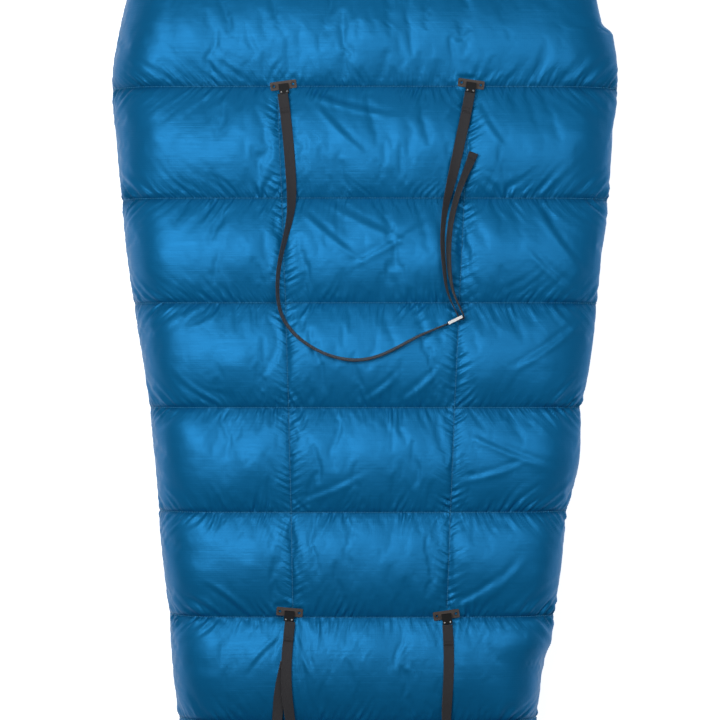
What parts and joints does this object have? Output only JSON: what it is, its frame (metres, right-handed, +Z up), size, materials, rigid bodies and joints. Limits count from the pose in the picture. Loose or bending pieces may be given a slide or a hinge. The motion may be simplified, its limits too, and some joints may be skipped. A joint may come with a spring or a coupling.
{
  "type": "mummy sleeping bag",
  "caption": "Quilted mummy sleeping bag lying face down, with hood, footbox, side zip and webbing straps on its back.",
  "frame": {"origin": "middle of the bag's length and width, on the surface it lies on", "axes": "+Z up through the back panel, +Y towards the hood, +X towards the zip side"},
  "size_m": [0.726, 2.05, 0.1702],
  "materials": {
    "quilted_shell": "satin",
    "quilted_liner": "satin",
    "webbing": "matte",
    "zip_tape": "matte",
    "coil_plastic": "satin",
    "dark_metal": "satin",
    "pull_cord": "matte",
    "buckle_metal": "satin",
    "anchor_plastic": "satin",
    "hook_plastic": "gloss",
    "lock_plastic": "satin",
    "spring_steel": "satin"
  },
  "bodies": {
    "root": {"anchor_plates": "anchor_plastic", "back_baffle_01": "quilted_shell", "back_baffle_02": "quilted_shell", "back_baffle_03": "quilted_shell", "back_baffle_04": "quilted_shell", "back_baffle_05": "quilted_shell", "back_baffle_06": "quilted_shell", "back_baffle_07": "quilted_shell", "back_baffle_08": "quilted_shell", "back_baffle_09": "quilted_shell", "back_baffle_10": "quilted_shell", "buckle_lower": "buckle_metal", "buckle_upper": "buckle_metal", "chin_panel": "quilted_shell", "cord_lock_body": "lock_plastic", "cord_lock_spring": "spring_steel", "draft_collar": "quilted_liner", "draft_tube": "quilted_shell", "footbox_back_panel": "quilted_shell", "footbox_end_panel": "quilted_shell", "footbox_front_panel": "quilted_shell", "front_baffle_01": "quilted_shell", "front_baffle_02": "quilted_shell", "front_baffle_03": "quilted_shell", "front_baffle_04": "quilted_shell", "front_baffle_05": "quilted_shell", "front_baffle_06": "quilted_shell", "front_baffle_07": "quilted_shell", "front_baffle_08": "quilted_shell", "front_baffle_09": "quilted_shell", "front_baffle_10": "quilted_shell", "hang_loops": "webbing", "hood_back_panel": "quilted_shell", "hood_crown": "quilted_shell", "hood_drawcord": "pull_cord", "hood_left_panel": "quilted_shell", "hood_right_panel": "quilted_shell", "left_side_wall_chest": "quilted_shell", "left_side_wall_foot": "quilted_shell", "left_side_wall_leg": "quilted_shell", "left_side_wall_neck": "quilted_shell", "right_side_wall_foot": "quilted_shell", "right_side_wall_neck": "quilted_shell", "strap_hooks": "hook_plastic", "strap_lower_left": "webbing", "strap_lower_right": "webbing", "strap_upper_left": "webbing", "strap_upper_right": "webbing", "zip_coil": "coil_plastic", "zip_stops": "dark_metal", "zip_tape_back": "zip_tape", "zip_tape_front": "zip_tape"},
    "slider_upper": {"slider_upper": "dark_metal"},
    "slider_lower": {"slider_lower": "dark_metal"},
    "puller_upper": {"puller_upper": "dark_metal", "pull_loop_upper": "pull_cord"},
    "puller_lower": {"puller_lower": "dark_metal", "pull_loop_lower": "pull_cord"},
    "closure_tab": {"closure_tab": "quilted_shell"},
    "cord_lock_button": {"cord_lock_button": "lock_plastic"}
  },
  "joints": [
    {"name": "slider_upper_slide", "type": "slide", "parent": "root", "child": "slider_upper", "axis": [0.0828, 0.9966, 0], "range_m": [-0.772, 0]},
    {"name": "slider_lower_slide", "type": "slide", "parent": "root", "child": "slider_lower", "axis": [0.0828, 0.9966, 0], "range_m": [0, 0.772]},
    {"name": "puller_upper_swing", "type": "hinge", "parent": "slider_upper", "child": "puller_upper", "pos_m": [0.3366, 0.62737, 0.075], "axis": [0, 0, 1], "range_deg": [0, 150]},
    {"name": "puller_lower_swing", "type": "hinge", "parent": "slider_lower", "child": "puller_lower", "pos_m": [0.26753, -0.20363, 0.075], "axis": [0, 0, 1], "range_deg": [0, 150]},
    {"name": "closure_tab_lift", "type": "hinge", "parent": "root", "child": "closure_tab", "pos_m": [0.33396, 0.68008, 0.092], "axis": [0.1996, -0.9799, 0], "range_deg": [0, 90]},
    {"name": "cord_lock_press", "type": "slide", "parent": "root", "child": "cord_lock_button", "axis": [0, 0, -1], "range_m": [0, 0.0035], "stiffness_N_per_m": 400, "springref_m": -0.003, "deforming": ["cord_lock_spring"]}
  ]
}
